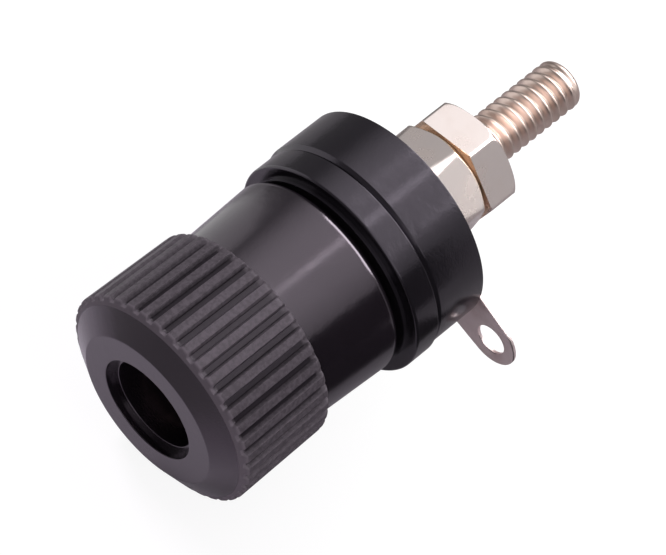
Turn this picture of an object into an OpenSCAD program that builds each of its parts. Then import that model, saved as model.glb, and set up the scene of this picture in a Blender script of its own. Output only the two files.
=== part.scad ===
// Binding post with a 4 mm banana socket: a knurled clamping knob on a turned post, held in a
// panel by two insulators and a pair of nuts, with a solder lug at the back.
// The axis runs along Y: the plug's mouth faces -Y and the stud points to +Y. The origin is on the
// axis, at the face of the front collar that lies against the panel. Sizes are in millimetres.

/* [Post] */
// Diameter of the plug bore
socket_d = 4.0; // [3.6:0.05:4.4]
// Depth of the plug bore, without its drill point
socket_depth = 13.4; // [9:0.1:13.6]
// Outside diameter of the threaded barrel
barrel_d = 7.0; // [6.4:0.1:7.6]
// Length of the barrel in front of its flange
barrel_length = 12.7; // [11:0.1:13.5]
// Bevel at the barrel's front edge
barrel_bevel = 0.5; // [0.2:0.05:0.9]
// Diameter of the wire hole across the barrel
wire_hole_d = 2.2; // [1.4:0.1:2.6]
// Distance of the wire hole's centre from the flange
wire_hole_setback = 1.6; // [1.4:0.1:3]
// Diameter of the flange that the wire is clamped on
flange_d = 10.0; // [8.4:0.1:11.5]
// Thickness of the flange
flange_t = 1.5; // [0.8:0.1:1.8]
// Diameter of the shank behind the flange
shank_d = 6.0; // [5.2:0.1:7.2]
// Width of the shank across its two flats
shank_flats = 5.0; // [4.4:0.1:5.2]
// Diameter of the stud over its thread
stud_d = 4.0; // [3.4:0.05:4.3]
// Length of the stud behind the panel face
stud_length = 22.2; // [18:0.1:30]
// Length of the rounded end of the stud
stud_tip = 0.7; // [0.3:0.05:1]
// Pitch of the stud's thread, which is drawn as rings
stud_pitch = 0.815; // [0.64:0.005:1.2]
// Depth of that thread
stud_thread_depth = 0.4; // [0.2:0.05:0.42]
// Width of the flat at the root of that thread
stud_root_w = 0.1; // [0.04:0.02:0.12]

/* [Knob] */
// Length of the knob
knob_length = 16.3; // [14.6:0.1:18]
// Gap between the knob and the collar, as it is screwed now
knob_gap = 0.77; // [0.5:0.01:2.2]
// Length of the knurled head
head_length = 9.1; // [6:0.1:11]
// Diameter over the ribs at the front rim
head_d = 17.1; // [16.4:0.1:19]
// Diameter over the ribs at the back of the head
head_back_d = 16.8; // [16.4:0.1:18]
// Diameter of the flat face round the mouth
face_d = 12.2; // [9.4:0.1:14]
// Depth of the bevel between the face and the rim
bevel_depth = 1.1; // [0.5:0.05:2]
// Diameter of the mouth
mouth_d = 8.2; // [8:0.1:9]
// Depth of the step inside the mouth
mouth_depth = 0.7; // [0.3:0.05:1.5]
// Diameter of the skirt next to the head
skirt_front_d = 15.2; // [14:0.1:15.6]
// Diameter of the skirt at its flared end
skirt_end_d = 15.9; // [15:0.1:17.4]
// Rounding of the skirt's end
skirt_edge = 0.7; // [0.2:0.05:1.2]

/* [Knurl] */
// Number of ribs
rib_count = 40; // [24:1:48]
// Width of a groove between two ribs, at the top
groove_w = 0.72; // [0.4:0.02:0.9]
// Width of a groove's floor
groove_floor_w = 0.42; // [0.1:0.02:0.5]
// Depth of a groove
groove_depth = 0.4; // [0.2:0.05:0.5]
// Depth of a groove where it runs out through the rim
runout_depth = 0.25; // [0.1:0.05:0.4]
// Length of the shallow run-out behind the rim
runout_length = 0.3; // [0.1:0.1:2]
// Length of the ramp from the run-out to the full depth
runout_ramp = 0.3; // [0.1:0.05:1]
// Broken edge at both ends of a rib
rib_edge = 0.3; // [0.1:0.02:0.4]
// Angle that the ribs are turned to
rib_turn = 8.6; // [0:0.1:9]

/* [Insert] */
// Outside diameter of the threaded bush in the knob
insert_d = 10.5; // [9.6:0.1:11.5]
// Length of the bush
insert_length = 9.5; // [7:0.1:10.5]
// Depth of the waist that keys the bush into the knob
waist_depth = 0.5; // [0.2:0.05:0.8]
// Length of that waist
waist_length = 3.0; // [1.5:0.1:4.5]

/* [Insulators] */
// Distance that the collar and the rear washer stand out past the knob's ribs
insulator_step = 0.1; // [0:0.05:1]
// Rounded edges of both
insulator_edge = 0.2; // [0.1:0.05:0.6]
// Thickness of the collar
collar_t = 2.1; // [1.8:0.1:3]
// Diameter of the raised boss on the collar's front
boss_d = 15.3; // [13:0.1:15.5]
// Height of the boss
boss_h = 0.3; // [0.1:0.05:0.45]
// Diameter of the spigot that sits in the panel hole
spigot_d = 10.0; // [9:0.1:12]
// Length of the spigot
spigot_length = 1.8; // [1:0.1:3]
// Distance that the collar has slipped off centre
collar_slip = 0.18; // [0:0.02:0.2]
// Direction of that slip, from +X towards +Z
collar_slip_turn = -28; // [-180:1:180]
// Thickness of the rear washer
washer_t = 4.55; // [3.4:0.05:6]
// Seam between the collar and the washer with no panel between them
seam = 0.14; // [0.02:0.02:0.4]

/* [Solder lug] */
// Thickness of the sheet
lug_t = 0.3; // [0.2:0.05:0.8]
// Diameter of the ring round the stud
lug_ring_d = 8.4; // [6.4:0.1:10]
// Distance from the axis to the tip of the tab
lug_reach = 13.4; // [12.4:0.1:16]
// Width of the tab at its tip
lug_tip_w = 4.7; // [3.8:0.1:5.6]
// Width of the tab at the axis
lug_root_w = 6.4; // [4.8:0.1:7]
// Diameter of the eye
lug_eye_d = 2.5; // [1.5:0.1:2.8]
// Distance of the eye from the tip
lug_eye_setback = 2.2; // [1.8:0.1:2.6]
// Direction of the tab, from +X towards +Z
lug_turn = -31; // [-180:1:180]

/* [Nuts and washers] */
// Diameter of the plain washer
plain_washer_d = 9.0; // [7:0.1:11]
// Thickness of the plain washer
plain_washer_t = 0.8; // [0.5:0.05:1.2]
// Diameter of the spring washer
spring_washer_d = 7.4; // [6.4:0.1:8]
// Thickness of the spring washer
spring_washer_t = 1.0; // [0.6:0.05:1.4]
// Width of the split in the spring washer
spring_split = 0.5; // [0.2:0.05:1]
// Slant of that split
spring_slant = 20; // [0:1:35]
// Width of a nut across its flats
nut_flats = 8.1; // [7.2:0.05:9]
// Thickness of a nut
nut_t = 3.0; // [2.2:0.1:4]
// Diameter of the round face on a nut's bevelled side
nut_face_d = 7.4; // [6.2:0.1:7.9]
// Angle of the bevel on a nut's corners
nut_bevel = 22; // [15:1:45]
// Depth of the countersink in a nut's thread
nut_sink = 0.35; // [0.1:0.05:0.6]
// Angle that the clamp nut is turned to
clamp_nut_turn = 9; // [0:1:60]
// Angle that the lock nut is turned to
lock_nut_turn = 0.5; // [0:0.5:60]

/* [Clearances] */
// Radial clearance of the post in the bush's thread and in a nut's
thread_clearance = 0.03; // [0.02:0.01:0.06]
// Radial clearance of the barrel in the knob's bore
bore_clearance = 0.05; // [0.03:0.01:0.08]
// Clearance of the bush in its pocket in the knob
pocket_clearance = 0.03; // [0.02:0.01:0.06]
// Clearance of the post's flange and shank in the collar
seat_clearance = 0.25; // [0.24:0.01:0.3]
// Radial clearance of the stud in the washers and the lug
stud_clearance = 0.25; // [0.24:0.01:0.3]
// Radial clearance of the spigot in the rear washer
spigot_clearance = 0.25; // [0.24:0.01:0.5]

/* [Hidden] */
$fn = 96;

// Amount by which a cutting shape runs past the face that it opens
past = 0.5;
// Straight pieces that a small rounding is made of
edge_steps = 4;
// Straight pieces that the lug's round tip is made of
tip_steps = 24;

// Colours of the finishes
plastic_black = "#2e2c30";
nickel = "#cfc4bf";
lug_nickel = "#b7a7a4";

// Places along the axis, positive to the rear
flange_z = -(collar_t + boss_h);
barrel_front_z = flange_z - barrel_length;
knob_back_z = -(collar_t + knob_gap);
knob_front_z = knob_back_z - knob_length;
head_back_z = knob_front_z + head_length;
rim_z = knob_front_z + bevel_depth;
insert_front_z = knob_back_z - insert_length;
waist_front_z = insert_front_z + (insert_length - waist_length) / 2;
waist_back_z = waist_front_z + waist_length;
washer_z = seam;
lug_z = washer_z + washer_t;
plain_washer_z = lug_z + lug_t;
spring_washer_z = plain_washer_z + plain_washer_t;
clamp_nut_z = spring_washer_z + spring_washer_t;
lock_nut_z = clamp_nut_z + nut_t;

// Diameter of the collar and of the rear washer
insulator_d = head_d + 2 * insulator_step;
// Rings that the stud's thread is drawn with, from the lug to the rounded end
stud_ring_count = floor((stud_length - stud_tip - plain_washer_z) / stud_pitch);
// Hole for the stud in everything that only slips over it
stud_hole_d = stud_d + 2 * stud_clearance;
// Taper of the head, as the radius lost for each unit of length
head_taper = (head_d - head_back_d) / 2 / (head_back_z - rim_z);
// Slope of the bevel from the face to the rim, as depth for each unit of radius
bevel_slope = bevel_depth / ((head_d - face_d) / 2);

// Radius over the ribs at a place along the axis
function rib_r(z) = head_d / 2 - head_taper * (z - rim_z);

// Points on an arc of radius r about [x, y]
function arc(x, y, r, from, to, steps = edge_steps) =
    [for (i = [0:steps]) let (a = from + (to - from) * i / steps) [x + r * cos(a), y + r * sin(a)]];

// Turns a shape that stands on Z so that it points to the rear
module along_axis() {
    rotate([-90, 0, 0])
        children();
}

// Turns a shape about the axis, from +X towards +Z
module clocked(turn) {
    rotate([0, 0, -turn])
        children();
}

// Disc with rounded edges on the outside, from z = 0 upwards
module round_disc(d, t, edge) {
    rotate_extrude()
        polygon(concat(
            [[0, 0]],
            arc(d / 2 - edge, edge, edge, -90, 0),
            arc(d / 2 - edge, t - edge, edge, 0, 90),
            [[0, t]]));
}

// Round bar with two flats, from z = 0 upwards
module flatted_bar(d, flats, length) {
    intersection() {
        cylinder(d = d, h = length);
        translate([-d / 2, -flats / 2, 0])
            cube([d, flats, length]);
    }
}

// Turned post: barrel, flange, flatted shank and stud in one piece of brass
module post() {
    color(nickel)
        along_axis()
            difference() {
                union() {
                    post_barrel();
                    translate([0, 0, flange_z + flange_t])
                        flatted_bar(shank_d, shank_flats, spigot_length - flange_z - flange_t - seat_clearance);
                    post_stud();
                }
                translate([0, 0, barrel_front_z - past])
                    cylinder(d = socket_d, h = socket_depth + past);
                translate([0, 0, barrel_front_z + socket_depth])
                    cylinder(d1 = socket_d, d2 = 0, h = socket_d / 2 * tan(30));
                translate([0, 0, flange_z - wire_hole_setback])
                    rotate([0, 90, 0])
                        cylinder(d = wire_hole_d, h = barrel_d + 2 * past, center = true);
            }
}

module post_barrel() {
    rotate_extrude()
        polygon([
            [0, barrel_front_z],
            [barrel_d / 2 - barrel_bevel, barrel_front_z],
            [barrel_d / 2, barrel_front_z + barrel_bevel],
            [barrel_d / 2, flange_z],
            [flange_d / 2, flange_z],
            [flange_d / 2, flange_z + flange_t],
            [0, flange_z + flange_t]]);
}

// One ring of the stud's thread from a place along the axis, as radius and place
function stud_ring(z) =
    let (root_r = stud_d / 2 - stud_thread_depth)
    let (flank = stud_thread_depth * tan(30))
    [[stud_d / 2, z],
     [root_r, z + flank],
     [root_r, z + flank + stud_root_w],
     [stud_d / 2, z + 2 * flank + stud_root_w]];

module post_stud() {
    tip_z = stud_length - stud_tip;
    rotate_extrude()
        polygon(concat(
            [[0, flange_z + flange_t]],
            [[stud_d / 2, flange_z + flange_t]],
            [for (i = [0:stud_ring_count - 1]) for (p = stud_ring(plain_washer_z + i * stud_pitch)) p],
            arc(stud_d / 2 - stud_tip, tip_z, stud_tip, 0, 90),
            [[0, stud_length]]));
}

// Outline of the knob with no grooves, as radius and place along the axis
function knob_outline() = concat(
    [[mouth_d / 2, knob_front_z + mouth_depth],
     [mouth_d / 2, knob_front_z],
     [face_d / 2, knob_front_z],
     [head_d / 2 - rib_edge, rim_z - rib_edge * bevel_slope],
     [rib_r(rim_z + rib_edge), rim_z + rib_edge],
     [rib_r(head_back_z - rib_edge), head_back_z - rib_edge],
     [rib_r(head_back_z) - rib_edge, head_back_z],
     [skirt_front_d / 2, head_back_z]],
    arc(skirt_end_d / 2 - skirt_edge, knob_back_z - skirt_edge, skirt_edge, 0, 90),
    knob_pocket());

// Pocket for the bush, and the bore that the barrel runs in
function knob_pocket() =
    let (pocket_r = insert_d / 2 + pocket_clearance)
    let (key_r = pocket_r - waist_depth)
    let (bore_r = barrel_d / 2 + bore_clearance)
    [[pocket_r, knob_back_z],
     [pocket_r, waist_back_z - pocket_clearance],
     [key_r, waist_back_z - pocket_clearance],
     [key_r, waist_front_z + pocket_clearance],
     [pocket_r, waist_front_z + pocket_clearance],
     [pocket_r, insert_front_z - pocket_clearance],
     [bore_r, insert_front_z - pocket_clearance],
     [bore_r, knob_front_z + mouth_depth]];

// Space that the grooves are cut from: a shallow run-out at the rim, a ramp, then the full depth
module groove_zone() {
    runout_z = rim_z + runout_length;
    floor_z = runout_z + runout_ramp;
    back_z = head_back_z + past;
    outer_r = head_d / 2 + past;
    rotate_extrude()
        polygon([
            [rib_r(rim_z) - runout_depth, knob_front_z],
            [rib_r(runout_z) - runout_depth, runout_z],
            [rib_r(floor_z) - groove_depth, floor_z],
            [rib_r(back_z) - groove_depth, back_z],
            [outer_r, back_z],
            [outer_r, knob_front_z]]);
}

// Ring of tapered bars, one for each groove
module groove_bars() {
    pitch = 360 / rib_count;
    top_r = head_d / 2;
    floor_r = top_r - groove_depth;
    flare = (groove_w - groove_floor_w) / 2 / groove_depth;
    outer_r = top_r + 2 * past;
    inner_r = floor_r - groove_floor_w / 2 / flare * 0.9;
    translate([0, 0, knob_front_z - past])
        linear_extrude(head_length + 3 * past)
            for (i = [0:rib_count - 1])
                rotate((i + 0.5) * pitch)
                    polygon([
                        [inner_r, -groove_w / 2 + flare * (top_r - inner_r)],
                        [outer_r, -groove_w / 2 - flare * (outer_r - top_r)],
                        [outer_r, groove_w / 2 + flare * (outer_r - top_r)],
                        [inner_r, groove_w / 2 - flare * (top_r - inner_r)]]);
}

// Moulded knob: bevelled mouth, ribbed and slightly tapered head, skirt flaring to the rear
module knob() {
    color(plastic_black)
        along_axis()
            difference() {
                rotate_extrude()
                    polygon(knob_outline());
                intersection() {
                    clocked(rib_turn)
                        groove_bars();
                    groove_zone();
                }
            }
}

// Threaded brass bush that is moulded into the knob
module knob_insert() {
    thread_r = barrel_d / 2 + thread_clearance;
    waist_r = insert_d / 2 - waist_depth;
    color(nickel)
        along_axis()
            rotate_extrude()
                polygon([
                    [thread_r, insert_front_z],
                    [insert_d / 2, insert_front_z],
                    [insert_d / 2, waist_front_z],
                    [waist_r, waist_front_z],
                    [waist_r, waist_back_z],
                    [insert_d / 2, waist_back_z],
                    [insert_d / 2, knob_back_z],
                    [thread_r, knob_back_z]]);
}

// Front insulator: collar, boss and the spigot that centres it in the panel
module front_collar() {
    color(plastic_black)
        along_axis()
            translate(collar_slip * [cos(collar_slip_turn), -sin(collar_slip_turn), 0])
                difference() {
                    union() {
                        translate([0, 0, -collar_t])
                            round_disc(insulator_d, collar_t, insulator_edge);
                        translate([0, 0, flange_z])
                            cylinder(d = boss_d, h = boss_h + collar_t / 2);
                        translate([0, 0, -collar_t / 2])
                            cylinder(d = spigot_d, h = collar_t / 2 + spigot_length);
                    }
                    translate([0, 0, flange_z - past])
                        cylinder(d = flange_d + 2 * seat_clearance, h = flange_t + past);
                    translate([0, 0, flange_z])
                        flatted_bar(shank_d + 2 * seat_clearance, shank_flats + 2 * seat_clearance,
                                    spigot_length - flange_z + past);
                }
}

// Rear insulator, with a recess for the spigot
module rear_washer() {
    color(plastic_black)
        along_axis()
            translate([0, 0, washer_z])
                difference() {
                    round_disc(insulator_d, washer_t, insulator_edge);
                    translate([0, 0, -past])
                        cylinder(d = spigot_d + 2 * spigot_clearance, h = spigot_length - seam + past);
                    cylinder(d = stud_hole_d, h = washer_t + past);
                }
}

// Outline of the lug: a ring, and a tapered tab that runs tangent into its round tip
module lug_outline() {
    tip_r = lug_tip_w / 2;
    tip_x = lug_reach - tip_r;
    taper = asin((lug_root_w / 2 - tip_r) / tip_x);
    circle(d = lug_ring_d);
    polygon(concat(
        [[0, -lug_root_w / 2]],
        arc(tip_x, 0, tip_r, taper - 90, 90 - taper, tip_steps),
        [[0, lug_root_w / 2]]));
}

// Solder lug stamped from sheet
module solder_lug() {
    color(lug_nickel)
        along_axis()
            clocked(lug_turn)
                translate([0, 0, lug_z])
                    linear_extrude(lug_t)
                        difference() {
                            lug_outline();
                            circle(d = stud_hole_d);
                            translate([lug_reach - lug_eye_setback, 0])
                                circle(d = lug_eye_d);
                        }
}

module plain_washer() {
    color(nickel)
        along_axis()
            translate([0, 0, plain_washer_z])
                difference() {
                    cylinder(d = plain_washer_d, h = plain_washer_t);
                    translate([0, 0, -past])
                        cylinder(d = stud_hole_d, h = plain_washer_t + 2 * past);
                }
}

// Spring washer, pressed flat, with its slanting split
module spring_washer() {
    color(nickel)
        along_axis()
            translate([0, 0, spring_washer_z])
                difference() {
                    cylinder(d = spring_washer_d, h = spring_washer_t);
                    translate([0, 0, -past])
                        cylinder(d = stud_hole_d, h = spring_washer_t + 2 * past);
                    translate([spring_washer_d / 2, 0, spring_washer_t / 2])
                        rotate([spring_slant, 0, 0])
                            cube([spring_washer_d, spring_split, 4 * spring_washer_t], center = true);
                }
}

// Hexagon nut, flat in front and with bevelled corners behind, from z = 0 upwards
module hex_nut(turn) {
    corner_r = nut_flats / 2 / cos(30);
    bevel_h = (corner_r + past - nut_face_d / 2) * tan(nut_bevel);
    hole_r = stud_d / 2 + thread_clearance;
    difference() {
        intersection() {
            clocked(turn)
                cylinder(r = corner_r, h = nut_t, $fn = 6);
            rotate_extrude()
                polygon([
                    [0, 0],
                    [corner_r + past, 0],
                    [corner_r + past, nut_t - bevel_h],
                    [nut_face_d / 2, nut_t],
                    [0, nut_t]]);
        }
        translate([0, 0, -past])
            cylinder(r = hole_r, h = nut_t + 2 * past);
        cylinder(r1 = hole_r + nut_sink, r2 = hole_r, h = nut_sink);
        translate([0, 0, nut_t - nut_sink])
            cylinder(r1 = hole_r, r2 = hole_r + nut_sink, h = nut_sink);
    }
}

// Nut that holds the post and the lug in the panel
module clamp_nut() {
    color(nickel)
        along_axis()
            translate([0, 0, clamp_nut_z])
                hex_nut(clamp_nut_turn);
}

// Nut that locks it, or holds a ring terminal
module lock_nut() {
    color(nickel)
        along_axis()
            translate([0, 0, lock_nut_z])
                hex_nut(lock_nut_turn);
}

post();
knob();
knob_insert();
front_collar();
rear_washer();
solder_lug();
plain_washer();
spring_washer();
clamp_nut();
lock_nut();
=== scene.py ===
# %% [markdown]
# # A binding post with a banana socket
# A binding post is a panel terminal: a plug goes into its mouth, a bare wire goes under its knob, and
# a stud with two nuts carries the wiring behind the panel. The solids of the part are already made
# and packed. This lesson loads them as a fixed frame, makes a finer mesh for each piece that the
# camera sees, and gives every surface its finish.

# %% Load the frame
import math

import bmesh
import bpy
from mathutils import Matrix, Vector


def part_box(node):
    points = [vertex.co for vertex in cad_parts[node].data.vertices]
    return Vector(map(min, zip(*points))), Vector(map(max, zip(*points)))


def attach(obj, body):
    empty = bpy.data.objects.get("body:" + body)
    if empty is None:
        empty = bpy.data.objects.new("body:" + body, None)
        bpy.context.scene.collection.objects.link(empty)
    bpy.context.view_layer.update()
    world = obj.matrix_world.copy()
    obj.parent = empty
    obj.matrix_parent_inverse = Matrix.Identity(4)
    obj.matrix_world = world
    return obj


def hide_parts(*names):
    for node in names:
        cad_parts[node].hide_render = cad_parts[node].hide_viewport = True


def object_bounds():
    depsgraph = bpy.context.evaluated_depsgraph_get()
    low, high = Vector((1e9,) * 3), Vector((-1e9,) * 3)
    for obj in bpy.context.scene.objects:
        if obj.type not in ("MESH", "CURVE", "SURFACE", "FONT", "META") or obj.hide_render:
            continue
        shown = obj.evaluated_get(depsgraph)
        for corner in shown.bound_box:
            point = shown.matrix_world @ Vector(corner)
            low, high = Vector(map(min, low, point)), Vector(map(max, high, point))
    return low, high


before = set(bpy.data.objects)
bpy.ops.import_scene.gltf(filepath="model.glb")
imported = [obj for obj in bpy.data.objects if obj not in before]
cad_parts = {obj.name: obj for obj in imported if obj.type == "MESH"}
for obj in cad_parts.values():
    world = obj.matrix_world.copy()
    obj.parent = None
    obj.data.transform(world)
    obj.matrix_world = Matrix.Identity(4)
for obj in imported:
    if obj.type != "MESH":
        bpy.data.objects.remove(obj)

MM = 0.001
MICRON = 1e-6
cad_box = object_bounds()
print("nodes:", sorted(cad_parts))

# %% [markdown]
# ## The camera
# The part lies on its side, with its axis along Y and its mouth towards -Y. The photograph looks down
# on it with a long lens. An azimuth, an elevation and one point in the middle of the picture say that
# in numbers that can be read, where a typed matrix could not.

# %% Camera
AZIMUTH = math.radians(44.95)
ELEVATION = math.radians(52.37)
LENS_MM = 200.0
SENSOR_MM = 36.0
DISTANCE = 259.5 * MM
PICTURE_CENTRE = Vector((0.287, -1.776, -1.126)) * MM

forward = Vector((
    -math.sin(AZIMUTH) * math.cos(ELEVATION),
    math.cos(AZIMUTH) * math.cos(ELEVATION),
    -math.sin(ELEVATION)))
camera_data = bpy.data.cameras.new("camera")
camera_data.lens = LENS_MM
camera_data.sensor_width = SENSOR_MM
camera = bpy.data.objects.new("camera", camera_data)
camera.rotation_euler = forward.to_track_quat("-Z", "Y").to_euler()
camera.location = PICTURE_CENTRE - forward * DISTANCE
bpy.context.scene.collection.objects.link(camera)
bpy.context.scene.camera = camera
print("camera at", [round(v / MM, 1) for v in camera.location], "mm")

# %% [markdown]
# ## Sums written as sums
# A knurl, a thread and a finish are all worked out by node trees. Wiring Math nodes by hand hides what
# they work out, so one small class stands for a socket, and a plain Python expression on it adds the
# Math nodes. One method adds any other node. A helper then reads how far a place is from the axis,
# which the tools and the finishes both ask for.

# %% A socket that can be used in sums
class Sock:
    """An output socket in a node tree. Sums on it add Math nodes to that tree."""

    def __init__(self, tree, socket=None):
        self.tree = tree
        self.socket = socket

    def node(self, kind, settings=None, values=None, out=0):
        """Adds a node: its settings first, then the values or links of its sockets."""
        made = self.tree.nodes.new(kind)
        for key, value in (settings or {}).items():
            setattr(made, key, value)
        for key, value in (values or {}).items():
            if isinstance(value, Sock):
                self.tree.links.new(value.socket, made.inputs[key])
            else:
                made.inputs[key].default_value = value
        return Sock(self.tree, made.outputs[out])

    def math(self, operation, *others):
        values = dict(enumerate((self, *others)))
        return self.node("ShaderNodeMath", {"operation": operation}, values)

    def smooth(self, start, end):
        """0 below start, 1 above end, and a smooth step between them."""
        return self.node("ShaderNodeMapRange", {"interpolation_type": "SMOOTHSTEP"},
                         {"Value": self, "From Min": start, "From Max": end})

    def __add__(self, other):
        return self.math("ADD", other)

    __radd__ = __add__

    def __sub__(self, other):
        return self.math("SUBTRACT", other)

    def __rsub__(self, other):
        return self.node("ShaderNodeMath", {"operation": "SUBTRACT"}, {0: other, 1: self})

    def __mul__(self, other):
        return self.math("MULTIPLY", other)

    __rmul__ = __mul__

    def __truediv__(self, other):
        return self.math("DIVIDE", other)

    def __rtruediv__(self, other):
        return self.node("ShaderNodeMath", {"operation": "DIVIDE"}, {0: other, 1: self})


print("sums on sockets are ready")

# %% Places about the axis
def axis_places(at):
    """x, y and z of a place, and its distance from the axis along Y."""
    x, y, z = (at.node("ShaderNodeSeparateXYZ", None, {0: at}, out=i) for i in range(3))
    return x, y, z, (x * x + z * z).math("SQRT")


print("places about the Y axis can be read")

# %% [markdown]
# ## Turned pieces
# Nearly every piece is round about the axis: the knob, the post, the insulators and the nuts. Each one
# starts as an outline of corners, with its own rounding at each, because a real edge is never sharp
# and its rounding is what catches the light. A Bevel modifier would give all edges one width. One more
# point on each side of a rounding holds the next stretch flat, so that smooth shading doesn't smear
# the rounding over it. The outline is then carried round the axis. A piece with fine and plain
# stretches has its outline made in stretches, each with its own spacing of points.

# %% Outlines
ARC_STEPS = 6
HOLD_SHARE = 0.2


def rounded(corners, step, closed=True):
    """Points (radius, y) along an outline of corners (radius, y, rounding), no more than step apart."""
    places = [Vector((r, y)) for r, y, _ in corners]
    path = []
    last = len(corners) - 1
    for i, (_, _, rounding) in enumerate(corners):
        here = places[i]
        if rounding == 0 or (not closed and i in (0, last)):
            path.append(here)
            continue
        back = (places[i - 1] - here).normalized()
        ahead = (places[(i + 1) % len(places)] - here).normalized()
        half = back.angle(ahead) / 2
        reach = rounding / math.tan(half)
        centre = here + (back + ahead).normalized() * rounding / math.sin(half)
        start = here + back * reach - centre
        turn = (here + ahead * reach - centre).angle_signed(start)
        hold = rounding * HOLD_SHARE
        path.append(centre + start + back * hold)
        for k in range(ARC_STEPS + 1):
            path.append(centre + Matrix.Rotation(turn * k / ARC_STEPS, 2) @ start)
        path.append(path[-1] + ahead * hold)
    points = []
    ends = path[1:] + path[:1] if closed else path[1:]
    for a, b in zip(path, ends):
        pieces = max(1, math.ceil((b - a).length / step))
        points += [a.lerp(b, k / pieces) for k in range(pieces)]
    return points if closed else points + [path[-1]]


print("roundings have", ARC_STEPS, "steps")

# %% Turning
ON_AXIS = 1e-9


def even_angles(count, start=0.0):
    """So many angles, evenly round a turn."""
    return [start + math.tau * i / count for i in range(count)]


def linked(name, data):
    """An object in the scene, for a mesh, a curve or a lamp."""
    made = bpy.data.objects.new(name, data)
    bpy.context.scene.collection.objects.link(made)
    return made


def turned(name, points, angles, closed=True):
    """A mesh object made by carrying an outline round the Y axis. An open outline ends on the axis."""
    around = len(angles)
    verts, rings = [], []
    for r, y in points:
        if r < ON_AXIS:
            rings.append([len(verts)] * around)
            verts.append((0.0, y, 0.0))
        else:
            rings.append(range(len(verts), len(verts) + around))
            verts += [(r * math.cos(a), y, r * math.sin(a)) for a in angles]
    faces = []
    pairs = zip(rings, rings[1:] + rings[:1]) if closed else zip(rings, rings[1:])
    for one, two in pairs:
        for i in range(around):
            j = (i + 1) % around
            faces.append(list(dict.fromkeys((one[i], one[j], two[j], two[i]))))
    mesh = bpy.data.meshes.new(name)
    mesh.from_pydata(verts, [], faces)
    return linked(name, mesh)


print("outlines can be turned")

# %% Clean meshes
MERGE_DISTANCE = 0.4 * MICRON
SLIVER_DISTANCE = 0.2 * MICRON
EDGE_SHARP = math.radians(30)


def finished(piece):
    """Merges doubles, turns every face outwards and shades the piece smooth."""
    work = bmesh.new()
    work.from_mesh(piece.data)
    bmesh.ops.remove_doubles(work, verts=work.verts, dist=MERGE_DISTANCE)
    bmesh.ops.dissolve_degenerate(work, edges=work.edges, dist=SLIVER_DISTANCE)
    bmesh.ops.recalc_face_normals(work, faces=work.faces)
    work.to_mesh(piece.data)
    work.free()
    piece.data.polygons.foreach_set("use_smooth", [True] * len(piece.data.polygons))
    print(piece.name, len(piece.data.polygons), "faces")
    return piece


def plain_mesh(piece):
    """What a piece looks like with its modifiers, as a mesh of its own."""
    evaluated = piece.evaluated_get(bpy.context.evaluated_depsgraph_get())
    return bpy.data.meshes.new_from_object(evaluated)


print("meshes can be cleaned, and edges over", round(math.degrees(EDGE_SHARP)), "degrees kept sharp")

# %% [markdown]
# ## Tools that cut by a rule
# A knurl, a thread and a hexagon can each be said as a rule: at this angle and this place along the
# axis, the radius is so much. Geometry Nodes carry such a rule out on every point of a turned piece at
# once, with the sizes as named inputs. Cutting each groove with a Boolean would give the same shape
# with poor edges.

# %% Geometry Nodes that set a radius
def radius_tool(name, sizes, rule):
    """A tree that moves each point to the radius that rule(angle, y, radius, size) gives."""
    tree = bpy.data.node_groups.new(name, "GeometryNodeTree")
    face = tree.interface
    face.new_socket("Geometry", in_out="INPUT", socket_type="NodeSocketGeometry")
    for label in sizes:
        face.new_socket(label, in_out="INPUT", socket_type="NodeSocketFloat")
    face.new_socket("Material", in_out="INPUT", socket_type="NodeSocketMaterial")
    face.new_socket("Geometry", in_out="OUTPUT", socket_type="NodeSocketGeometry")
    start = tree.nodes.new("NodeGroupInput")
    end = tree.nodes.new("NodeGroupOutput")
    size = {label: Sock(tree, start.outputs[label]) for label in sizes}
    place = Sock(tree).node("GeometryNodeInputPosition")
    x, y, z, radius = axis_places(place)
    angle = z.math("ARCTAN2", x)
    grow = rule(angle, y, radius, size) / radius
    moved = place.node("ShaderNodeCombineXYZ", None, {0: x * grow, 1: y, 2: z * grow})
    shape = place.node("GeometryNodeSetPosition", None,
                       {"Geometry": Sock(tree, start.outputs["Geometry"]), "Position": moved})
    shape = place.node("GeometryNodeRealizeInstances", None, {"Geometry": shape})
    shape = place.node("GeometryNodeSetMaterial", None,
                       {"Geometry": shape, "Material": Sock(tree, start.outputs["Material"])})
    tree.links.new(shape.socket, end.inputs["Geometry"])
    print("tool:", name, "with", ", ".join(sizes))
    return tree


def cut(piece, tool, material, sizes):
    """Runs a tool on a piece with these sizes, and keeps the result as a plain mesh."""
    modifier = piece.modifiers.new(tool.name, "NODES")
    modifier.node_group = tool
    values = {**sizes, "Material": material}
    for item in tool.interface.items_tree:
        if item.in_out == "INPUT" and item.name in values:
            modifier[item.identifier] = values[item.name]
    mesh = plain_mesh(piece)
    piece.modifiers.remove(modifier)
    before = piece.data
    piece.data = mesh
    bpy.data.meshes.remove(before)
    mesh.name = piece.name


print("tools can cut turned pieces")

# %% [markdown]
# ## Finishes
# The plastic is black with a breath of plum. The smooth parts came off a polished mould and shine, with
# a skin that is very slightly uneven. The ribbed head came off a blasted mould and is paler and dull.
# The floors of its grooves are painted darker, as painted shade, and its rim is painted paler still,
# as a painted highlight. One shader can't be both without a sheen on the ribs, so the head has a
# second, dull shader, mixed in by its place on the knob. The metal is nickel on brass: bright and
# warm, with fine rings from the lathe on the turned pieces, a warmer stud, and a duller, stained face
# on the stamped lug. All patterns are noise on Object coordinates, so they stay with the piece from
# any side.

# %% Material helpers
WHITE = (1.0, 1.0, 1.0, 1.0)


def new_material(name):
    """A material with an empty tree, and the Object coordinates in it."""
    material = bpy.data.materials.new(name)
    material.use_nodes = True
    material.node_tree.nodes.clear()
    return material, Sock(material.node_tree).node("ShaderNodeTexCoord", out=3)


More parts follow.
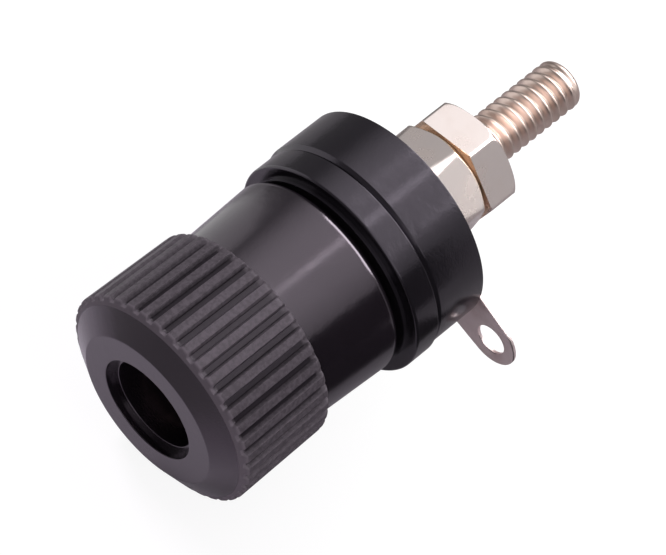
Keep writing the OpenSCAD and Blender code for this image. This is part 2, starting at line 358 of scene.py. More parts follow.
def noise(at, scale, detail=2.0, roughness=0.5):
    """Soft noise from 0 to 1 at a place. The scale counts its features in a metre."""
    return at.node("ShaderNodeTexNoise", None,
                   {"Vector": at, "Scale": scale, "Detail": detail, "Roughness": roughness})


def bump(at, height, microns):
    """A normal that is tilted by a height, whose 1 stands for so many microns."""
    return at.node("ShaderNodeBump", None,
                   {"Strength": 1.0, "Distance": microns * MICRON, "Height": height})


def shade(colour, factor):
    """A colour made darker or paler."""
    return tuple(c * factor for c in colour)


def blend(share, one, two):
    """One colour turning into another as the share goes from 0 to 1."""
    values = {0: share}
    for key, colour in ((6, one), (7, two)):
        values[key] = colour if isinstance(colour, Sock) else (*colour, 1.0)
    return share.node("ShaderNodeMix", {"data_type": "RGBA"}, values, out=2)


def output(shader):
    """Ends a material's tree with this shader."""
    end = shader.tree.nodes.new("ShaderNodeOutputMaterial")
    shader.tree.links.new(shader.socket, end.inputs["Surface"])


print("materials read Object coordinates")

# %% Black plastic
PLASTIC_IOR = 1.55
POLISHED_ROUGH, BLASTED_ROUGH = 0.17, 0.55
BLASTED_SHINE = 0.2
PATCH_SCALE, WAVE_SCALE, MOTTLE_SCALE, GRAIN_SCALE = 260.0, 900.0, 3600.0, 7200.0
GRAIN_LIFT, WAVE_WEIGHT = 7.0, 1.6
# How far below the rib tops the painted shade on the groove floors starts and is full.
FLOOR_FROM, FLOOR_FULL = 0.26 * MM, 0.38 * MM
# Where the painted highlight on the rim is full, and where it has faded behind the rim.
RIM_HIGHLIGHT_FULL, RIM_HIGHLIGHT_END = 0.05 * MM, 0.2 * MM


def ribbed_head(at, inner, rim, back, rib_top, taper, pale):
    """Where the ribbed head is, where painted shade darkens its groove floors, and the rib tops'
    colour.
    """
    _, y, _, radius = axis_places(at)
    on_head = radius.smooth(inner, inner + 0.1 * MM) * (1.0 - y.smooth(back, back + 0.2 * MM))
    sunk = rib_top - (y - rim) * taper - radius
    along = y.smooth(rim, rim + 0.2 * MM) * (1.0 - y.smooth(back - 0.6 * MM, back - 0.3 * MM))
    # The groove floors are painted darker: painted shade, where the ribs would shade them.
    shaded_floor = sunk.smooth(FLOOR_FROM, FLOOR_FULL) * along
    # The rim is painted paler: a painted highlight where its rounding catches the light.
    wear_and_highlight = 1.0 - y.smooth(rim + RIM_HIGHLIGHT_FULL, rim + RIM_HIGHLIGHT_END)
    mottle = noise(at, MOTTLE_SCALE, 2.0, 0.6).smooth(0.3, 0.7)
    tops = blend(wear_and_highlight, blend(mottle, shade(pale, 0.75), shade(pale, 1.25)), shade(pale, 1.8))
    return on_head, shaded_floor, tops


def moulded_plastic(name, black, shine, tint, head=None):
    """Black plastic with a fine grain. head gives the place and colour of a dull ribbed part, painted
    with shade and highlight.
    """
    material, at = new_material(name)
    patches = noise(at, PATCH_SCALE, 3.0)
    grain = noise(at, GRAIN_SCALE, 2.0, 0.6)
    waves = noise(at, WAVE_SCALE)
    normal = bump(at, grain + waves * WAVE_WEIGHT, GRAIN_LIFT)
    gloss = {"Normal": normal, "IOR": PLASTIC_IOR, "Specular Tint": (*tint, 1.0)}
    surface = at.node("ShaderNodeBsdfPrincipled", None, {
        "Base Color": blend(patches, shade(black, 0.8), shade(black, 1.2)),
        "Roughness": POLISHED_ROUGH + (patches - 0.5) * 0.10 + (grain - 0.5) * 0.10,
        "Specular IOR Level": shine, **gloss})
    if head:
        on_head, shaded_floor, tops = ribbed_head(at, **head)
        blasted = at.node("ShaderNodeBsdfPrincipled", None, {
            "Base Color": blend(shaded_floor, tops, black),
            "Roughness": BLASTED_ROUGH + (grain - 0.5) * 0.1 - shaded_floor * 0.1,
            "Specular IOR Level": BLASTED_SHINE, **gloss})
        surface = at.node("ShaderNodeMixShader", None, {0: on_head, 1: surface, 2: blasted})
    output(surface)
    return material


insulator_skin = moulded_plastic(
    "insulator_skin", (0.0100, 0.0085, 0.0110), shine=0.48, tint=(0.95, 0.84, 1.0))
print("plastic:", insulator_skin.name)

# %% Nickel plate
CLOUD_SCALE, SWELL_SCALE, SPECK_SCALE, RING_SCALE = 420.0, 500.0, 5200.0, 9000.0
SWELL_WEIGHT = 3.0
# Where the painted reflection on a bevel starts and is full, out from the bevel.
GAP_REFLECTION_FROM, GAP_REFLECTION_FULL = -0.12 * MM, -0.03 * MM


def nickel(name, bright, stained, rough, ring_um, stain, gap_reflection=None):
    """Nickel plate with faint rings and some staining. gap_reflection gives a bevel with a painted
    reflection.
    """
    material, at = new_material(name)
    _, y, _, radius = axis_places(at)
    wear_and_highlight = noise(at, CLOUD_SCALE, 1.0).smooth(0.45, 0.75) * stain
    swell = noise(at, SWELL_SCALE, 0.0)
    specks = noise(at, SPECK_SCALE, 2.0, 0.6)
    rings = at.node("ShaderNodeTexNoise", {"noise_dimensions": "1D"},
                    {"W": y, "Scale": RING_SCALE, "Detail": 2.0})
    colour = blend(wear_and_highlight, bright, stained)
    if gap_reflection:
        # The bevel is painted a warm colour: a painted reflection of the light in the gap between the
        # nuts.
        face_r, end_y, slope, reflection_colour = gap_reflection
        bevel_r = face_r + (end_y - y) / slope
        colour = blend((radius - bevel_r).smooth(GAP_REFLECTION_FROM, GAP_REFLECTION_FULL), colour, reflection_colour)
    normal = bump(at, rings + swell * SWELL_WEIGHT, ring_um)
    output(at.node("ShaderNodeBsdfPrincipled", None, {
        "Base Color": colour, "Metallic": 1.0, "Normal": normal,
        "Roughness": rough + wear_and_highlight * 0.1 + (specks - 0.5) * 0.05}))
    return material


NUT_PLATE = {"bright": (0.79, 0.70, 0.675), "stained": (0.68, 0.57, 0.53),
             "rough": 0.24, "ring_um": 1.2, "stain": 0.5}
nickel_skin = nickel("nickel_skin", **NUT_PLATE)
stud_skin = nickel("stud_skin", (0.72, 0.58, 0.52), (0.58, 0.44, 0.37),
                   rough=0.32, ring_um=1.2, stain=0.6)
lug_skin = nickel("lug_skin", (0.92, 0.78, 0.78), (0.76, 0.60, 0.59),
                  rough=0.36, ring_um=2.0, stain=0.9)
print("metal:", [m.name for m in (nickel_skin, stud_skin, lug_skin)])

# %% [markdown]
# ## The knob
# The knob is one moulding: a flat face round the mouth, a shallow bevel out to the rim, a ribbed head
# that tapers slightly, and a plain skirt that flares to the rear. Its sizes are those of the packed
# solid, but for the face, which the photograph shows a little further forward.

# %% Knob sizes and finish
knob_low, knob_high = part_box("knob")
FACE_FORWARD = 0.2 * MM
KNOB_FRONT, KNOB_BACK = knob_low.y - FACE_FORWARD, knob_high.y
HEAD_R = 8.55 * MM
HEAD_BACK_R = 8.4 * MM
HEAD_LENGTH = 9.3 * MM
FACE_R = 6.1 * MM
BEVEL = 1.3 * MM
MOUTH_R = 4.1 * MM
MOUTH_DEPTH = 0.7 * MM
BORE_R = 3.55 * MM
POCKET_R = 5.28 * MM
SKIRT_FRONT_R = 7.6 * MM
SKIRT_END_R = 7.95 * MM
DULL_FROM_R = 7.92 * MM

rim_y = KNOB_FRONT + BEVEL
head_back_y = KNOB_FRONT + HEAD_LENGTH
head_taper = (HEAD_R - HEAD_BACK_R) / (head_back_y - rim_y)
knob_skin = moulded_plastic(
    "knob_skin", (0.0105, 0.0080, 0.0110), shine=0.70, tint=(1.0, 0.86, 1.0),
    head={"inner": DULL_FROM_R, "rim": rim_y, "back": head_back_y,
          "rib_top": HEAD_R, "taper": head_taper, "pale": (0.066, 0.055, 0.066)})
print("knob from", round(KNOB_FRONT / MM, 2), "to", round(KNOB_BACK / MM, 2), "mm")

# %% [markdown]
# The ribs are what the fingers grip. The grooves between them have sloping walls and a flat floor. At
# the front they start a little shallower and run out through the bevel, which gives the rim its teeth.
# The points of the turned blank lie close together on the walls of a groove and far apart elsewhere.

# %% Knurl
RIBS = 40
RIB_TURN = math.radians(8.57)
RAMP_START = 0.6
RIB_PLACES = (0.0, 0.12, 0.222, 0.240, 0.288, 0.336, 0.352,
              0.5, 0.648, 0.664, 0.712, 0.760, 0.778, 0.88)


def knurl(angle, y, radius, size):
    """Grooves between the ribs, which start shallow at the rim and soon have their full depth."""
    pitch = math.tau / RIBS
    top = size["Rim radius"] - (y - size["Rim"]) * size["Taper"]
    turn = ((angle - size["Turn"]) / pitch + RIBS).math("FRACT")
    off_groove = (turn - 0.5).math("ABSOLUTE") * pitch * size["Rim radius"]
    wall = (size["Top width"] / 2.0 - off_groove) / (size["Top width"] - size["Floor width"]) * 2.0
    groove = wall.math("MAXIMUM", 0.0).math("MINIMUM", 1.0)
    deep = y.smooth(size["Rim"] + RAMP_START * size["Run-out"], size["Rim"] + size["Run-out"])
    depth = size["Rim depth"] + (size["Depth"] - size["Rim depth"]) * deep
    proud = (radius - (top - depth)).math("MAXIMUM", 0.0)
    on_head = y.math("LESS_THAN", size["Head end"])
    return radius - proud * groove * on_head


knurl_tool = radius_tool("knurl", [
    "Rim", "Rim radius", "Taper", "Turn", "Depth", "Rim depth", "Run-out",
    "Top width", "Floor width", "Head end"], knurl)
rib_angles = [RIB_TURN + math.tau * (i + f) / RIBS for i in range(RIBS) for f in RIB_PLACES]

# %% Knob outline
BUSH_GAP = 0.03 * MM
BEVEL_SPLIT_R = 7.4 * MM
RIM_ZONE = 0.5 * MM
MOUTH_STEP, RIM_STEP, GRIP_STEP = 1.0 * MM, 0.06 * MM, 1.2 * MM

bush_front_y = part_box("knob_insert")[0].y - BUSH_GAP
bevel_y = KNOB_FRONT + BEVEL * (BEVEL_SPLIT_R - FACE_R) / (HEAD_R - FACE_R)
ribs_y = rim_y + RIM_ZONE
ribs_r = HEAD_R - (ribs_y - rim_y) * head_taper
mouth_part = rounded([
    (BORE_R, bush_front_y, 0.0),
    (BORE_R, KNOB_FRONT + MOUTH_DEPTH, 0.05 * MM),
    (MOUTH_R, KNOB_FRONT + MOUTH_DEPTH, 0.0),
    (MOUTH_R, KNOB_FRONT, 0.06 * MM),
    (FACE_R, KNOB_FRONT, 0.25 * MM),
    (BEVEL_SPLIT_R, bevel_y, 0.0),
], MOUTH_STEP, closed=False)
rim_part = rounded([
    (BEVEL_SPLIT_R, bevel_y, 0.0),
    (HEAD_R, rim_y, 0.25 * MM),
    (ribs_r, ribs_y, 0.0),
], RIM_STEP, closed=False)
grip_part = rounded([
    (ribs_r, ribs_y, 0.0),
    (HEAD_BACK_R, head_back_y, 0.45 * MM),
    (SKIRT_FRONT_R, head_back_y, 0.15 * MM),
    (SKIRT_END_R, KNOB_BACK, 0.6 * MM),
    (POCKET_R, KNOB_BACK, 0.0),
    (POCKET_R, bush_front_y, 0.0),
], GRIP_STEP, closed=False)
knob_outline = mouth_part[:-1] + rim_part[:-1] + grip_part
print("knob outline with", len(knob_outline), "points")

# %% Knob
KNOB_SHARP = math.radians(50)

knob = turned("knob_moulding", knob_outline, rib_angles)
cut(knob, knurl_tool, knob_skin, {
    "Rim": rim_y, "Rim radius": HEAD_R, "Taper": head_taper, "Turn": RIB_TURN, "Depth": 0.40 * MM,
    "Rim depth": 0.32 * MM, "Run-out": 0.3 * MM, "Top width": 0.72 * MM, "Floor width": 0.42 * MM,
    "Head end": head_back_y + 0.05 * MM})
finished(knob)
knob.data.set_sharp_from_angle(angle=KNOB_SHARP)

# %% [markdown]
# ## The insulators
# The collar sits on the front of the panel and the thick washer behind it. Both are plain turned
# shapes, so an outline is all they need. The collar has slipped a little to one side, as it does with
# no panel to hold it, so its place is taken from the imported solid. The washer has a chamfer at the
# front, which faces away from the light and makes the dark line between the two.

# %% Collar
collar_low, collar_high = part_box("front_collar")
INSULATOR_R = 8.65 * MM
BOSS_R = 7.65 * MM
BOSS_HEIGHT = 0.3 * MM
SPIGOT_R = 5.0 * MM
FLANGE_SEAT_R = 5.25 * MM
FLANGE_SEAT_DEPTH = 1.5 * MM
SHANK_HOLE_R = 3.25 * MM
ROUND_ANGLES = even_angles(192)
INSULATOR_STEP = 0.6 * MM

boss_y = collar_low.y
collar_y = boss_y + BOSS_HEIGHT
seat_y = boss_y + FLANGE_SEAT_DEPTH
collar_outline = [
    (FLANGE_SEAT_R, boss_y, 0.04 * MM),
    (BOSS_R, boss_y, 0.0),
    (BOSS_R, collar_y, 0.0),
    (INSULATOR_R, collar_y, 0.18 * MM),
    (INSULATOR_R, 0.0, 0.05 * MM),
    (SPIGOT_R, 0.0, 0.05 * MM),
    (SPIGOT_R, collar_high.y, 0.15 * MM),
    (SHANK_HOLE_R, collar_high.y, 0.0),
    (SHANK_HOLE_R, seat_y, 0.0),
    (FLANGE_SEAT_R, seat_y, 0.0),
]
collar_centre = (collar_low + collar_high) / 2
collar = turned("collar_moulding", rounded(collar_outline, INSULATOR_STEP), ROUND_ANGLES)
collar.data.transform(Matrix.Translation((collar_centre.x, 0.0, collar_centre.z)))
collar.data.materials.append(insulator_skin)
finished(collar)
collar.data.set_sharp_from_angle(angle=EDGE_SHARP)

# %% Washer
washer_low, washer_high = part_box("rear_washer")
RECESS_R = 5.25 * MM
STUD_HOLE_R = 2.25 * MM
WASHER_CHAMFER = 0.28 * MM
washer_outline = [
    (RECESS_R, washer_low.y, 0.1 * MM),
    (INSULATOR_R - WASHER_CHAMFER, washer_low.y, 0.04 * MM),
    (INSULATOR_R, washer_low.y + WASHER_CHAMFER, 0.08 * MM),
    (INSULATOR_R, washer_high.y, 0.06 * MM),
    (STUD_HOLE_R, washer_high.y, 0.1 * MM),
    (STUD_HOLE_R, collar_high.y, 0.0),
    (RECESS_R, collar_high.y, 0.0),
]
washer = turned("washer_moulding", rounded(washer_outline, INSULATOR_STEP), ROUND_ANGLES)
washer.data.materials.append(insulator_skin)
finished(washer)
washer.data.set_sharp_from_angle(angle=EDGE_SHARP)

# %% [markdown]
# ## The post and its threads
# The post is turned from one bar: a threaded barrel with the plug bore, a flange, a shank with two
# flats and a threaded stud. A Screw modifier could wind a thread, but its ends would have to be closed
# by hand. A thread is also a groove that climbs one pitch for each turn, so here a rule adds the angle
# to the place along the axis, and it can fade out at both ends. The groove's flat root and its two
# flanks take their shares of a pitch, and the crest takes the rest. A rule can also give the flats.

# %% Rules for threads and flats
ROOT_SHARE = 0.12
FLANK_SHARE = 0.72
TURNS_AHEAD = 100.0
ABOVE_ZERO = 0.001


def thread(angle, y, radius, size):
    """A right-hand thread between two places, fading out at both ends."""
    turn = (y / size["Pitch"] + angle / math.tau + size["Phase"] + TURNS_AHEAD).math("FRACT")
    flank = ((turn - 0.5).math("ABSOLUTE") * 2.0 - ROOT_SHARE) / FLANK_SHARE
    valley = 1.0 - flank.math("MAXIMUM", 0.0).math("MINIMUM", 1.0)
    ends = y.smooth(size["Start"], size["Start"] + size["Pitch"]) * (
        1.0 - y.smooth(size["End"] - size["Pitch"], size["End"]))
    outside = radius.math("GREATER_THAN", size["Inner radius"])
    return radius - valley * ends * outside * size["Depth"]


def flats(angle, y, radius, size):
    """Two flats across the bar, between two places along it."""
    limit = size["Width"] / 2.0 / (angle.math("SINE").math("ABSOLUTE") + ABOVE_ZERO)
    here = y.math("GREATER_THAN", size["Start"]) * y.math("LESS_THAN", size["End"])
    return radius - (radius - radius.math("MINIMUM", limit)) * here


thread_tool = radius_tool(
    "screw_thread", ["Pitch", "Phase", "Depth", "Start", "End", "Inner radius"], thread)
flats_tool = radius_tool("flats", ["Width", "Start", "End"], flats)

# %% Post outline
post_low, post_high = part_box("post")
BARREL_R = 3.5 * MM
PLUG_R = 2.0 * MM
PLUG_DEPTH = 13.4 * MM
DRILL_POINT = 1.15 * MM
FLANGE_R = 5.0 * MM
SHANK_R = 3.0 * MM
SHANK_SHORT = 0.25 * MM
STUD_R = 2.0 * MM
BARREL_JOIN, STUD_JOIN = 0.4 * MM, 0.1 * MM
BARREL_STEP, PLAIN_STEP, STUD_STEP = 0.085 * MM, 0.4 * MM, 0.068 * MM

flange_y = collar_low.y
flange_back_y = flange_y + FLANGE_SEAT_DEPTH
shank_end_y = collar_high.y - SHANK_SHORT
bore_end_y = post_low.y + PLUG_DEPTH
barrel_part = rounded([
    (0.0, bore_end_y + DRILL_POINT, 0.0),
    (PLUG_R, bore_end_y, 0.0),
    (PLUG_R, post_low.y, 0.25 * MM),
    (BARREL_R, post_low.y, 0.45 * MM),
    (BARREL_R, flange_y - BARREL_JOIN, 0.0),
], BARREL_STEP, closed=False)
shank_part = rounded([
    (BARREL_R, flange_y, 0.0),
    (FLANGE_R, flange_y, 0.12 * MM),
    (FLANGE_R, flange_back_y, 0.10 * MM),
    (SHANK_R, flange_back_y, 0.0),
    (SHANK_R, shank_end_y, 0.1 * MM),
    (STUD_R, shank_end_y, 0.0),
], PLAIN_STEP, closed=False)
stud_part = rounded([
    (STUD_R, shank_end_y + STUD_JOIN, 0.0),
    (STUD_R, post_high.y, 0.62 * MM),
    (0.0, post_high.y, 0.0),
], STUD_STEP, closed=False)
post_outline = barrel_part + shank_part + stud_part
print("post outline with", len(post_outline), "points")

# %% Post
BARREL_PITCH = 1.0 * MM
STUD_PITCH = 0.815 * MM
SHANK_FLATS = 5.0 * MM

post = turned("turned_post", post_outline, even_angles(96), closed=False)
cut(post, thread_tool, stud_skin, {
    "Pitch": BARREL_PITCH, "Phase": 0.0, "Depth": 0.55 * MM, "Inner radius": 2.6 * MM,
    "Start": post_low.y + 0.1 * MM, "End": flange_y - 0.6 * MM})
cut(post, thread_tool, stud_skin, {
    "Pitch": STUD_PITCH, "Phase": 0.83, "Depth": 0.42 * MM, "Inner radius": 1.0 * MM,
    "Start": shank_end_y + 0.3 * MM, "End": post_high.y - 0.35 * MM})
cut(post, flats_tool, stud_skin, {
    "Width": SHANK_FLATS, "Start": flange_back_y + 0.05 * MM, "End": shank_end_y + 0.05 * MM})
finished(post)

# %% [markdown]
# The wire hole goes straight through the barrel, from side to side. It has no rule about the axis, so
# a Boolean with a plain cylinder drills it, as a drill does.

# %% Wire hole
WIRE_HOLE_R = 1.1 * MM
WIRE_HOLE_Y = flange_y - 1.6 * MM
DRILL_REACH = 5 * MM

drill = turned("drill", [
    (0.0, -DRILL_REACH), (WIRE_HOLE_R, -DRILL_REACH), (WIRE_HOLE_R, DRILL_REACH), (0.0, DRILL_REACH),
], even_angles(48), closed=False)
drill.data.transform(Matrix.Translation((0, WIRE_HOLE_Y, 0)) @ Matrix.Rotation(math.pi / 2, 4, "Z"))
finished(drill)
drilling = post.modifiers.new("wire_hole", "BOOLEAN")
drilling.object = drill
drilling.solver = "EXACT"
drilled = plain_mesh(post)
post.modifiers.remove(drilling)
post.data = drilled
bpy.data.objects.remove(drill)
finished(post)

# %% [markdown]
# ## The nuts
# A nut is a turned blank, flat in front and bevelled at the back, milled to six flats. Where a flat
# meets the bevel there is a curved edge, which comes by itself when the smaller of the two radii is
# kept. A smooth minimum also takes the sharpness off the corners. The clamp nut has seen a spanner:
# its corners are cut down towards the front. Its steep bevel is painted a warm brass colour, a painted
# reflection of the warm light that bounces in the gap between the two nuts.

# %% Nut sizes and finish
NUT_FLATS = 8.1 * MM
NUT_FACE_R = 3.7 * MM
NUT_HOLE_R = 2.03 * MM
NUT_SINK = 0.35 * MM
NUT_CORNER_R = NUT_FLATS / 2 / math.cos(math.pi / 6)
NUT_STEP = 0.07 * MM
LOCK_BEVEL = math.radians(24)
CLAMP_BEVEL = math.radians(36)
# A warm brass colour painted on the clamp nut's bevel, as a painted reflection.
GAP_REFLECTION_COLOUR = (0.86, 0.69, 0.52)

clamp_skin = nickel("clamp_skin", **NUT_PLATE, gap_reflection=(
    NUT_FACE_R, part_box("clamp_nut")[1].y, math.tan(CLAMP_BEVEL), GAP_REFLECTION_COLOUR))
print("nuts are", round(2 * NUT_CORNER_R / MM, 2), "mm across their corners")

# %% Nuts
SIXTHS_AHEAD = 12.0


def hexagon(angle, y, radius, size):
    """The smaller of the turned radius and six flats, with rounded corners."""
    sixth = math.tau / 6
    off_flat = ((angle - size["Turn"]) / sixth + SIXTHS_AHEAD).math("FRACT") * sixth - sixth / 2
    flat = size["Flats"] / 2.0 / off_flat.math("COSINE")
    return radius.math("SMOOTH_MIN", flat, size["Rounding"])


hexagon_tool = radius_tool("hexagon", ["Flats", "Turn", "Rounding"], hexagon)


def nut(name, node, skin, turn, rounding, front_cut, rear_cut, bevel, edge):
    """A nut in the place of a node. The cuts say how far its corners are turned down at each end."""
    low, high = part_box(node)
    rear_r = NUT_CORNER_R - rear_cut
    lift = (rear_r - NUT_FACE_R) * math.tan(bevel)
    outline = [
        (NUT_HOLE_R + NUT_SINK, low.y, 0.05 * MM),
        (NUT_CORNER_R - front_cut, low.y, 0.06 * MM),
        (rear_r, high.y - lift, edge),
        (NUT_FACE_R, high.y, 0.1 * MM),
        (NUT_HOLE_R + NUT_SINK, high.y, 0.05 * MM),
        (NUT_HOLE_R, high.y - NUT_SINK, 0.05 * MM),
        (NUT_HOLE_R, low.y + NUT_SINK, 0.05 * MM),
    ]
    blank = turned(name, rounded(outline, NUT_STEP), even_angles(180, turn))
    cut(blank, hexagon_tool, skin, {"Flats": NUT_FLATS, "Turn": turn, "Rounding": rounding})
    return finished(blank)


clamp_nut = nut("clamp_nut_hexagon", "clamp_nut", clamp_skin, turn=math.radians(9.3),
                rounding=0.04 * MM, front_cut=0.16 * MM, rear_cut=0.01 * MM,
                bevel=CLAMP_BEVEL, edge=0.3 * MM)
lock_nut = nut("lock_nut_hexagon", "lock_nut", nickel_skin, turn=math.radians(0.4),
               rounding=0.02 * MM, front_cut=0.0, rear_cut=0.0,
               bevel=LOCK_BEVEL, edge=0.8 * MM)

# %% [markdown]
# ## The solder lug
# The lug is stamped from sheet: a ring, a tapered tab and an eye. It could be an outline with Booleans
# for its holes. A filled flat curve with a small bevel gives the outline, the holes and the soft edge
# that stamping leaves in one go.

# %% Lug outline
LUG_RING_R = 4.2 * MM
LUG_REACH = 13.4 * MM
LUG_TIP_R = 2.35 * MM
LUG_ROOT_HALF = 3.2 * MM
LUG_JOIN_HALF = LUG_ROOT_HALF * 0.93
EYE_R = 1.25 * MM
EYE_REACH = 11.2 * MM


def circle_points(x, r, count, start=0.0, sweep=math.tau):
    """Points on a circle about (x, 0), or on a part of it."""
    return [(x + r * math.cos(start + sweep * i / count), r * math.sin(start + sweep * i / count))
            for i in range(count)]


tip_x = LUG_REACH - LUG_TIP_R
tab_taper = math.asin((LUG_ROOT_HALF - LUG_TIP_R) / tip_x)
tip_half = math.pi / 2 - tab_taper
side_half = math.asin(LUG_JOIN_HALF / LUG_RING_R)
lug_outline = circle_points(tip_x, LUG_TIP_R, 40, -tip_half, 2 * tip_half)
lug_outline.append((tip_x + LUG_TIP_R * math.cos(tip_half), LUG_TIP_R * math.sin(tip_half)))
lug_outline += circle_points(0.0, LUG_RING_R, 72, side_half, math.tau - 2 * side_half)
lug_outline.append((LUG_RING_R * math.cos(side_half), -LUG_RING_R * math.sin(side_half)))
lug_eye = circle_points(EYE_REACH, EYE_R, 48)
lug_hole = circle_points(0.0, STUD_HOLE_R, 48)
print("lug outline with", len(lug_outline), "points")

# %% Solder lug
lug_low, lug_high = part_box("solder_lug")
LUG_TURN = math.radians(-31)
SHEET_EDGE = 0.07 * MM

sheet = bpy.data.curves.new("lug_sheet", "CURVE")
sheet.dimensions = "2D"
sheet.fill_mode = "BOTH"
sheet.bevel_depth = SHEET_EDGE
sheet.bevel_resolution = 2
sheet.offset = -SHEET_EDGE
sheet.extrude = (lug_high.y - lug_low.y) / 2 - SHEET_EDGE
for points in (lug_outline, lug_hole, lug_eye):
    spline = sheet.splines.new("POLY")
    spline.points.add(len(points) - 1)
    for point, (x, y) in zip(spline.points, points):
        point.co = (x, y, 0.0, 1.0)
    spline.use_cyclic_u = True
flat_lug = linked("lug_sheet", sheet)
lug = linked("stamped_lug", plain_mesh(flat_lug))
bpy.data.objects.remove(flat_lug)
lug.data.transform(
    Matrix.Translation((0, (lug_low.y + lug_high.y) / 2, 0))
    @ Matrix.Rotation(-LUG_TURN, 4, "Y")
    @ Matrix.Rotation(math.pi / 2, 4, "X"))
lug.data.materials.clear()
lug.data.materials.append(lug_skin)
finished(lug)
lug.data.set_sharp_from_angle(angle=EDGE_SHARP)

# %% [markdown]
# ## The washers and the bush
# Between the lug and the first nut are a plain washer and a spring washer. The plain one is turned
# again with soft edges. The spring washer and the bush inside the knob hardly show, and their packed
# solids have the right shape, so they stay and only get the nickel finish.

# %% Washers and bush
plain_low, plain_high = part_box("plain_washer")
PLAIN_WASHER_STEP = 0.3 * MM
plain_outline = [
    (STUD_HOLE_R, plain_low.y, 0.05 * MM),
    (plain_high.x, plain_low.y, 0.12 * MM),
    (plain_high.x, plain_high.y, 0.12 * MM),
    (STUD_HOLE_R, plain_high.y, 0.05 * MM),
]
plain_washer = turned("plain_washer_disc", rounded(plain_outline, PLAIN_WASHER_STEP), even_angles(96))
plain_washer.data.materials.append(nickel_skin)
finished(plain_washer)
for node in ("spring_washer", "knob_insert"):
    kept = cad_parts[node]
    kept.data.materials.clear()
    kept.data.materials.append(nickel_skin)
    print(node, "stays as it was packed")

# %% [markdown]
# ## Which body each piece rides on
# The knob turns and travels, and the bush inside it travels along. Everything else is clamped in the
# panel. Each piece made here stands in for one imported solid, which is hidden. The table also lists
# the material each piece is made of.

# %% Bodies and slots
for piece, body, node, slot in (
        (knob, "knob_shell", "knob", "knob_plastic"),
        (collar, "panel_unit", "front_collar", "insulator_plastic"),
        (washer, "panel_unit", "rear_washer", "insulator_plastic"),
        (post, "panel_unit", "post", "nickel_plate"),
        (clamp_nut, "panel_unit", "clamp_nut", "nickel_plate"),
        (lock_nut, "panel_unit", "lock_nut", "nickel_plate"),
        (lug, "panel_unit", "solder_lug", "lug_plate"),
        (plain_washer, "panel_unit", "plain_washer", "nickel_plate")):
    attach(piece, body)
    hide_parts(node)
    print(piece.name, "rides on", body)

# %% [markdown]
# ## The table
# The part lies on a white table. To the camera it glows white, with a share of lit paper left near the
# front of the knob, so that it still takes the shadow of the part. To mirrors it is paper with painted
# light: a pale pool in front of the knob and darker paper further off, with a little of the white
# further off, which lifts the lower sides of the metal.

# %% Table
TABLE_HALF = 0.6
TABLE_GLOW = 1.12
# The paper's colours are painted light: a pale pool in front of the knob, darker paper further off.
NEAR_PAPER, FAR_PAPER = (0.72, 0.65, 0.75), (0.30, 0.28, 0.30)
NEAR_END, FAR_START = 12 * MM, 45 * MM
WHITE_NEAR, WHITE_MORE, WHITE_MIRRORED = 0.8, 0.2, 0.11

floor_z = cad_box[0][2]
floor_mesh = bpy.data.meshes.new("table")
floor_mesh.from_pydata(
    [(x * TABLE_HALF, y * TABLE_HALF, floor_z) for x, y in ((-1, -1), (1, -1), (1, 1), (-1, 1))],
    [], [(0, 1, 2, 3)])
table = linked("table", floor_mesh)
table_white, at = new_material("table_white")
before_face = (-10 * MM, -22 * MM, floor_z)
off_face = at.node("ShaderNodeVectorMath", {"operation": "DISTANCE"}, {0: at, 1: before_face}, out=1)
beyond = off_face.smooth(NEAR_END, FAR_START)
camera_ray = at.node("ShaderNodeLightPath", out=0)
mirror_ray = at.node("ShaderNodeLightPath", out=3)
to_camera = camera_ray * (WHITE_NEAR + beyond * WHITE_MORE)
to_mirrors = mirror_ray * beyond * WHITE_MIRRORED
paper = at.node("ShaderNodeBsdfDiffuse", None, {"Color": blend(beyond, NEAR_PAPER, FAR_PAPER)})
glow = at.node("ShaderNodeEmission", None, {"Color": WHITE, "Strength": TABLE_GLOW})
output(at.node("ShaderNodeMixShader", None, {0: to_camera + to_mirrors, 1: paper, 2: glow}))
table.data.materials.append(table_white)
print("table at z", round(floor_z / MM, 2), "mm")

# %% [markdown]
# ## Cards
# Shiny things are photographed with cards just outside the picture, because they show what stands
# round them. A bent black card on the right gives the plastic its dark lower edge. A white one on the
# left is what the flanks of the stud's thread show, and keeps its upper side bright. More lamps would
# have lit the dull surfaces too.

# %% Cards
def card(name, corners, faces, shader, values):
    """A card that only mirrors see: hidden from the camera, with no light and no shadow on the part."""
    mesh = bpy.data.meshes.new(name)
    mesh.from_pydata(corners, [], faces)
    made = linked(name, mesh)
    made.visible_camera = made.visible_diffuse = made.visible_shadow = False
    material, at = new_material(name)
    output(at.node(shader, None, values))
    mesh.materials.append(material)
    print(name, len(faces), "faces")


BLACK_X, BLACK_FRONT, BLACK_BACK, BLACK_TOP = 30 * MM, -40 * MM, 14 * MM, floor_z + 20 * MM
FOOT_X, FOOT_BACK, FOOT_Z = 12 * MM, 6 * MM, floor_z + 0.05 * MM
card("black_card", [
    (BLACK_X, BLACK_FRONT, floor_z), (BLACK_X, BLACK_BACK, floor_z),
    (BLACK_X, BLACK_BACK, BLACK_TOP), (BLACK_X, BLACK_FRONT, BLACK_TOP),
    (FOOT_X, BLACK_FRONT, FOOT_Z), (BLACK_X, BLACK_FRONT, FOOT_Z),
    (BLACK_X, FOOT_BACK, FOOT_Z), (FOOT_X, FOOT_BACK, FOOT_Z),
], [(0, 1, 2, 3), (4, 5, 6, 7)], "ShaderNodeBsdfDiffuse", {"Color": (0.01, 0.01, 0.01, 1.0)})

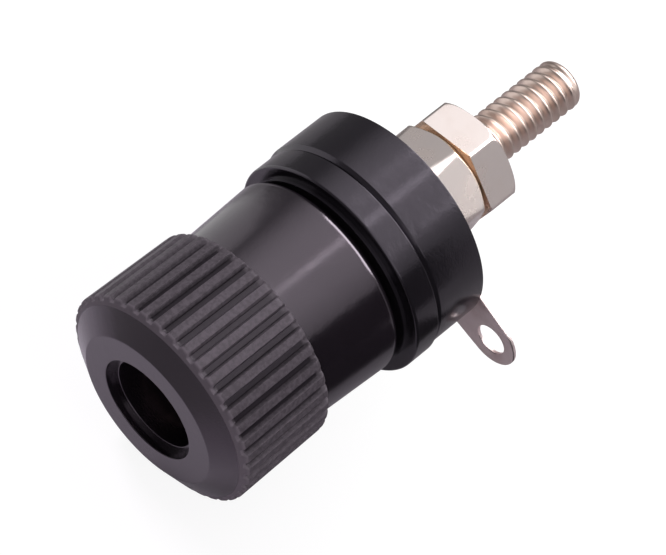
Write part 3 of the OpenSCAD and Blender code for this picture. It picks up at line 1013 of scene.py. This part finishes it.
PALE_X, PALE_FRONT, PALE_BACK, PALE_TOP = -27 * MM, -26 * MM, 5 * MM, 28 * MM
card("pale_card", [
    (PALE_X, PALE_FRONT, floor_z), (PALE_X, PALE_BACK, floor_z),
    (PALE_X, PALE_BACK, PALE_TOP), (PALE_X, PALE_FRONT, PALE_TOP),
], [(0, 1, 2, 3)], "ShaderNodeEmission", {"Color": WHITE, "Strength": 1.0})

# %% [markdown]
# ## The room and its lamps
# The room is a dim white with three soft lights in it: a wide ceiling light a little to the right and
# behind, a faint wall on the right and a window at the front right. Black plastic shows little of its
# own colour and mostly what it reflects, so the dim parts of the room give it its form. A key and a
# fill lamp light the dull surfaces, and mirrors don't see them. A narrow tube makes the streak along
# the knob, and a low strip behind makes the bright line on the end of its skirt.

# %% Room
CEILING = Vector((0.157, 0.43, 0.89)).normalized()
WALL = Vector((0.90, 0.43, 0.0)).normalized()
WINDOW = Vector((0.85, -0.40, 0.35)).normalized()
ROOM_LIGHTS = ((CEILING, 0.5, 1.4), (WALL, 0.8, 0.3), (WINDOW, 0.6, 1.2))
ROOM_DIM = 0.2
LIT_SHARE, MIRROR_SHARE = 0.45, 0.55

world = bpy.data.worlds.new("room")
bpy.context.scene.world = world
world.use_nodes = True
world.node_tree.nodes.clear()
way = Sock(world.node_tree).node("ShaderNodeTexCoord")
shine = ROOM_DIM
for middle, start, strength in ROOM_LIGHTS:
    towards = way.node("ShaderNodeVectorMath", {"operation": "DOT_PRODUCT"}, {0: way, 1: middle}, out=1)
    shine = shine + towards.smooth(start, 1.0) * strength
seen = way.node("ShaderNodeLightPath", out=0)
mirrored = way.node("ShaderNodeLightPath", out=3)
light = shine * (LIT_SHARE + mirrored * MIRROR_SHARE)
room = way.node("ShaderNodeBackground", None, {
    "Color": WHITE, "Strength": light + seen * (1.0 - light)})
world_end = world.node_tree.nodes.new("ShaderNodeOutputWorld")
world.node_tree.links.new(room.socket, world_end.inputs["Surface"])
bpy.context.scene.view_settings.view_transform = "Standard"
print("room with", len(ROOM_LIGHTS), "lights")

# %% Lamps
def lamp(name, way, along, distance, size, radiance):
    """An area lamp that shines on the part from one direction. Its first side lies along another."""
    out = Vector(way).normalized()
    side = (Vector(along) - Vector(along).dot(out) * out).normalized()
    data = bpy.data.lights.new(name, "AREA")
    data.shape = "RECTANGLE"
    data.size, data.size_y = size
    data.energy = radiance * math.pi * size[0] * size[1]
    made = linked(name, data)
    made.location = out * distance
    made.rotation_euler = Matrix((side, out.cross(side), out)).transposed().to_euler()
    print(name, "at", [round(v, 3) for v in made.location], "with", round(data.energy, 4), "W")
    return made


key_lamp = lamp("key_lamp", (-0.60, 0.10, 0.80), along=(0, 1, 0),
                distance=0.6, size=(0.12, 0.12), radiance=43.0)
fill_lamp = lamp("fill_lamp", (0.95, -0.05, 0.25), along=(0, 1, 0),
                 distance=0.5, size=(0.15, 0.15), radiance=14.0)
lamp("lamp_tube", (0.264, 0.39, 0.862), along=(0, 1, 0),
     distance=0.5, size=(0.14, 0.02), radiance=6.0)
rear_strip = lamp("rear_strip", (0.24, 0.80, 0.55), along=(-0.927, 0, 0.375),
                  distance=0.4, size=(0.44, 0.26), radiance=8.0)
key_lamp.visible_glossy = fill_lamp.visible_glossy = False
rear_strip.visible_diffuse = False
